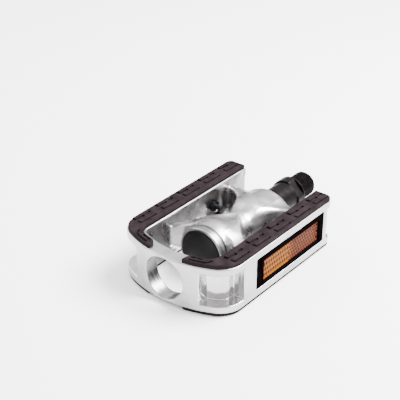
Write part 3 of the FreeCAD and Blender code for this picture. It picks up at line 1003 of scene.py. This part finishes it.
def glossy_skin_painted_bright():
    """The corner pockets, which no tool has dulled: glossy, with the mould's broad waves. Their lighter
    colour is painted brightness that stands for the pockets' bright reflections.
    """
    material, tree, shader = new_material("glossy_skin_painted_bright", (0.5, 0.49, 0.495), 1.0, 0.12)
    # Painted reflection: a lighter colour than the rest of the casting, for the bright reflections in
    # the pockets.
    colour = ramp(tree, noise(tree, 90, 3), (0.42, 0.41, 0.415), (0.58, 0.57, 0.575))
    wavy = bump(tree, noise(tree, 170, 2, (1, 1, 0.35)), 0.5, 0.0009)
    feed(tree, shader, colour, ramp(tree, noise(tree, 200, 3), 0.07, 0.2), wavy)
    return material


def machined_aluminium_painted_dark():
    """The barrel's turned end and the bored hole: with fine rings left by the tool, and darker than the
    casting, which is painted shade that stands for the dark reflections inside the hole.
    """
    material, tree, shader = new_material("machined_aluminium_painted_dark", (0.48, 0.48, 0.48), 1.0, 0.2)
    rings = noise(tree, 3000, 2, (1, 0.03, 0.03))
    # Painted shade: the colour is kept dark for the hole's dark reflections, and the turned end takes
    # the same darkening.
    colour = ramp(tree, rings, (0.18, 0.177, 0.177), (0.29, 0.286, 0.286))
    feed(tree, shader, colour, ramp(tree, rings, 0.22, 0.36), bump(tree, rings, 0.2, 0.00008))
    return material


def rubber(name, dark, light, bloom_scale):
    """Moulded dark rubber with a fine matt grain and a dusty bloom."""
    material, tree, shader = new_material(name, light, 0.0, 0.62)
    bloom = noise(tree, bloom_scale, 5)
    grain = bump(tree, noise(tree, 3200, 3), 0.25, 0.00012)
    feed(tree, shader, ramp(tree, bloom, dark, light), ramp(tree, bloom, 0.55, 0.72), grain)
    shader.inputs["Specular IOR Level"].default_value = 0.02
    return material


def dark_steel(name, dark, light, roughness):
    """Black-oxide steel: nearly black, satin, with fine turning marks and paler worn patches."""
    material, tree, shader = new_material(name, light, 0.2, roughness)
    wear = noise(tree, 260, 4)
    marks = bump(tree, noise(tree, 2400, 2, (1, 0.05, 0.05)), 0.18, 0.00008)
    colour = ramp(tree, wear, dark, light, (0.35, 0.75))
    feed(tree, shader, colour, ramp(tree, wear, roughness + 0.08, roughness - 0.06), marks)
    shader.inputs["Specular IOR Level"].default_value = 0.04
    return material


def bright_steel():
    """Hardened bearing steel: ground bright, with faint rings and a film of grease."""
    material, tree, shader = new_material("ground_bearing_steel", (0.55, 0.55, 0.56), 1.0, 0.2)
    rings = noise(tree, 1800, 3, (1, 0.1, 0.1))
    colour = ramp(tree, noise(tree, 300, 3), (0.46, 0.45, 0.44), (0.6, 0.6, 0.6))
    feed(tree, shader, colour, ramp(tree, rings, 0.12, 0.3), bump(tree, rings, 0.1, 0.00005))
    shader.inputs["Coat Weight"].default_value = 0.4
    shader.inputs["Coat Roughness"].default_value = 0.3
    return material


def plastic(name, dark, light, roughness, grain_scale, specular):
    """Black moulded plastic with a fine spark-eroded texture."""
    material, tree, shader = new_material(name, light, 0.0, roughness)
    cloud = noise(tree, 180, 4)
    grain = bump(tree, noise(tree, grain_scale, 3), 0.2, 0.0001)
    dulled = ramp(tree, cloud, roughness - 0.06, roughness + 0.08)
    feed(tree, shader, ramp(tree, cloud, dark, light), dulled, grain)
    shader.inputs["Specular IOR Level"].default_value = specular
    return material


def amber():
    """The amber lens, with painted highlights that make its prisms' peaks golden and painted shade that
    makes its valleys red-brown, and a painted glint that is brightest over the outboard half and duller
    at both ends.
    """
    material, tree, shader = new_material("amber_prism_lens", (0.7, 0.2, 0.02), 0.0, 0.18)
    prism = tree.nodes.new("ShaderNodeAttribute")
    prism.attribute_name = "prism"
    place = tree.nodes.new("ShaderNodeTexCoord")
    parts = tree.nodes.new("ShaderNodeSeparateXYZ")
    tree.links.new(place.outputs["Object"], parts.inputs["Vector"])
    along, start = parts.outputs["X"], lens_low[0]
    # Painted glint: the outboard half, past its first few millimetres, takes the brighter colours,
    # standing for light sent back by its prisms.
    inboard = ramp(tree, along, 0.0, 1.0, ((lens_zone_x - 2) * MM, (lens_zone_x + 4) * MM))
    outboard = ramp(tree, along, 0.5, 0.0, (start * MM, (start + 6) * MM))
    zone = tree.nodes.new("ShaderNodeMath")
    zone.operation = "MAXIMUM"
    tree.links.new(inboard, zone.inputs[0])
    tree.links.new(outboard, zone.inputs[1])
    # Painted highlights and shade: the prisms' peaks are coloured light and their valleys dark.
    height, stops = prism.outputs["Fac"], (0.2, 0.75)
    bright = ramp(tree, height, (0.008, 0.0009, 0.0001), (0.203, 0.061, 0.0002), stops)
    dull = ramp(tree, height, (0.008, 0.0016, 0.001), (0.09, 0.02, 0.0045), stops)
    mix = tree.nodes.new("ShaderNodeMix")
    mix.data_type = "RGBA"
    tree.links.new(zone.outputs["Value"], mix.inputs["Factor"])
    tree.links.new(bright, mix.inputs["A"])
    tree.links.new(dull, mix.inputs["B"])
    gloss = ramp(tree, noise(tree, 400, 2), 0.12, 0.24)
    feed(tree, shader, mix.outputs["Result"], gloss, bump(tree, noise(tree, 900, 2), 0.05, 0.0001))
    shader.inputs["Specular IOR Level"].default_value = 0.03
    return material


# ------------------------------------------------------------------ making the pieces

cast_metal = aluminium()
# Darkened by painted shade, for the hole's dark reflections.
machined = machined_aluminium_painted_dark()
# Lightened by painted reflection, for the corner pockets.
pocket_skin_painted_bright = glossy_skin_painted_bright()
tread_rubber = rubber("tread_rubber_moulded", (0.0068, 0.0046, 0.0053), (0.0155, 0.011, 0.0125), 220)
seal_rubber = rubber("seal_rubber_moulded", (0.008, 0.008, 0.008), (0.016, 0.015, 0.015), 400)
spindle_steel = dark_steel("black_oxide_spindle_steel", (0.0018, 0.0013, 0.0014),
                           (0.0065, 0.005, 0.0053), 0.42)
fastener_steel = dark_steel("black_fastener_steel", (0.008, 0.008, 0.009), (0.03, 0.03, 0.032), 0.34)
bearing_steel = bright_steel()
cap_plastic = plastic("cap_plastic_satin", (0.0035, 0.003, 0.0033), (0.006, 0.0053, 0.0056),
                      0.42, 2600, 0.1)
housing_plastic = plastic("reflector_housing_plastic", (0.0012, 0.0008, 0.0011),
                          (0.0022, 0.0015, 0.0019), 0.4, 1800, 0.0)
lens_plastic = amber()


def add_turned_end(mesh):
    """Adds the barrel's turned end to the casting's mesh, with the edges of its steps kept sharp."""
    end = mesh_from("turned_end", *turned(barrel_end_profile(), barrel_end_sides, closed=True))
    outward(end, barrel_end_sharp)
    whole = bmesh.new()
    whole.from_mesh(mesh)
    whole.from_mesh(end)
    whole.to_mesh(mesh)
    whole.free()
    bpy.data.meshes.remove(end)


def make_casting():
    """The cage casting, with its turned end and bored hole in machined metal darkened by painted shade,
    and its corner pockets lightened by painted reflection.
    """
    low, high = (end_x, -side_y, -barrel_end_r), (rail_end_x, side_y, barrel_end_r)
    mesh = moulded("casting", casting, low, high, cast_step)
    add_turned_end(mesh)
    piece = new_object("casting", mesh, cast_metal, "pedal_body", "cage_casting")
    piece.cycles.shadow_terminator_offset = 0.25
    mesh.materials.append(machined)
    mesh.materials.append(pocket_skin_painted_bright)
    centres = np.zeros(len(mesh.polygons) * 3)
    mesh.polygons.foreach_get("center", centres)
    x, y, z = centres.reshape(-1, 3).T / MM
    rho = np.hypot(y, z)
    # Each finish reaches a little past its own wall, over the rounding at the wall's edges.
    turned_end = (x > barrel_out_x - 0.3) & (x < turned_x + turned_lap) & (rho < barrel_end_r + 0.05)
    hole_wall = (x < end_x + end_wall_t + 0.5) & (rho < tool_hole_r + 0.3)
    pocket_wall = corner_pocket(x, y, z) < 0.1
    # Index 1 is the machined finish, darkened by painted shade on the turned end and the hole's wall;
    # index 2 is the glossy skin, lightened by painted reflection in the corner pockets.
    finish = np.where(pocket_wall, 2, np.where(turned_end | hole_wall, 1, 0))
    mesh.polygons.foreach_set("material_index", finish.astype(np.int32))


def make_pads():
    """The four rubber pads."""
    for level, up in (("top", 1), ("bottom", -1)):
        for side, back in (("rear", 1), ("front", -1)):
            node = f"rubber_pad_{level}_{side}"
            low, high = box_mm(node)
            shaped = lambda x, y, z, u=up, b=back: pad(x, y, u * z, b)
            mesh = moulded(f"pad_{level}_{side}", shaped, low, high, tread_step)
            new_object(f"tread_pad_{level}_{side}", mesh, tread_rubber, "pedal_body",
                       node)


def make_reflectors():
    """Each side's housing, lens, bolts and nuts."""
    for side, back in (("rear", 1), ("front", -1)):
        low, high = box_mm(f"reflector_housing_{side}")
        shaped = lambda x, y, z, b=back: housing(x, b * y, z)
        mesh = moulded(f"housing_{side}", shaped, low, high, housing_step)
        new_object(f"reflector_frame_{side}", mesh, housing_plastic, "pedal_body",
                   f"reflector_housing_{side}")
        new_object(f"prism_lens_{side}", lens_mesh(f"lens_{side}", back), lens_plastic, "pedal_body",
                   f"reflector_lens_{side}")
        fasteners = (("bolts", bolt_shape(), bolt_sharp), ("nuts", nut_shape(), turned_sharp))
        for name, shape, sharp in fasteners:
            mesh = mesh_from(f"{name}_{side}", *across_pedal(shape, back))
            outward(mesh, sharp)
            new_object(f"black_{name}_{side}", mesh, fastener_steel, "pedal_body",
                       f"reflector_{name}_{side}")


def make_turned():
    """The spindle, the dust cap and the dust seal."""
    mesh = mesh_from("turned_spindle", *turned(spindle_profile(), spindle_sides))
    outward(mesh, turned_sharp)
    new_object("turned_spindle", mesh, spindle_steel, "spindle", "spindle")
    mesh = mesh_from("domed_cap", *turned(cap_profile(), cap_sides))
    outward(mesh, turned_sharp)
    new_object("domed_cap", mesh, cap_plastic, "pedal_body", "dust_cap")
    mesh = mesh_from("lip_seal", *turned(seal_profile(), seal_sides, closed=True))
    outward(mesh, turned_sharp)
    new_object("lip_seal", mesh, seal_rubber, "pedal_body", "dust_seal")


make_casting()
make_pads()
make_reflectors()
make_turned()

# The parts inside the barrel keep their CAD meshes.
for name in ("bearing_cup_inboard", "bearing_cup_outboard", "bearing_balls_inboard",
             "bearing_balls_outboard", "bearing_cone_outboard", "tab_washer", "lock_nut"):
    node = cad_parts[name]
    node.data.materials.clear()
    node.data.materials.append(spindle_steel if name in ("tab_washer", "lock_nut") else bearing_steel)


# ------------------------------------------------------------------ floor, light and camera

def soft_light(name, place, target, width, power):
    """A square area light that faces a target, in metres and watts."""
    light = bpy.data.lights.new(name, "AREA")
    light.size = width
    light.energy = power
    lamp = bpy.data.objects.new(name, light)
    bpy.context.scene.collection.objects.link(lamp)
    lamp.location = place
    lamp.rotation_euler = (Vector(target) - Vector(place)).to_track_quat("-Z", "Y").to_euler()


def pale_floor():
    """A wide pale floor under the lower pads."""
    half = 4.0
    z = cad_low.z
    corners = [(-half, -half, z), (half, -half, z), (half, half, z), (-half, half, z)]
    mesh = bpy.data.meshes.new("floor")
    mesh.from_pydata(corners, [], [(0, 1, 2, 3)])
    floor = bpy.data.objects.new("floor", mesh)
    bpy.context.scene.collection.objects.link(floor)
    mesh.materials.append(new_material("pale_floor", (0.95, 0.95, 0.95), 0.0, 0.8)[0])


def studio():
    """A pale room, darker towards the horizon, with two large soft lights."""
    world = bpy.data.worlds.new("studio")
    world.use_nodes = True
    tree = world.node_tree
    place = tree.nodes.new("ShaderNodeTexCoord")
    parts = tree.nodes.new("ShaderNodeSeparateXYZ")
    tree.links.new(place.outputs["Generated"], parts.inputs["Vector"])
    sky = ramp(tree, parts.outputs["Z"], (0.3, 0.3, 0.31), (1.0, 1.0, 1.0), (0.0, 0.6))
    tree.links.new(sky, tree.nodes["Background"].inputs["Color"])
    tree.nodes["Background"].inputs["Strength"].default_value = 2.3
    bpy.context.scene.world = world
    middle = (-0.05, 0, 0)
    soft_light("key", (0.30, -0.34, 0.66), middle, 0.5, 42.0)
    soft_light("fill", (-0.1, 0.7, 0.6), middle, 0.7, 8.0)


def photo_camera():
    """The camera at the photographed angle."""
    data = bpy.data.cameras.new("camera")
    data.sensor_width = 36.0
    data.lens = 95.6
    data.clip_start = 0.01
    data.clip_end = 50.0
    camera = bpy.data.objects.new("camera", data)
    bpy.context.scene.collection.objects.link(camera)
    camera.location = (-0.43823, -0.28205, 0.28681)
    forward = Vector((0.68259, 0.54119, -0.49110))
    camera.rotation_euler = forward.to_track_quat("-Z", "Y").to_euler()
    bpy.context.scene.camera = camera


pale_floor()
studio()
photo_camera()
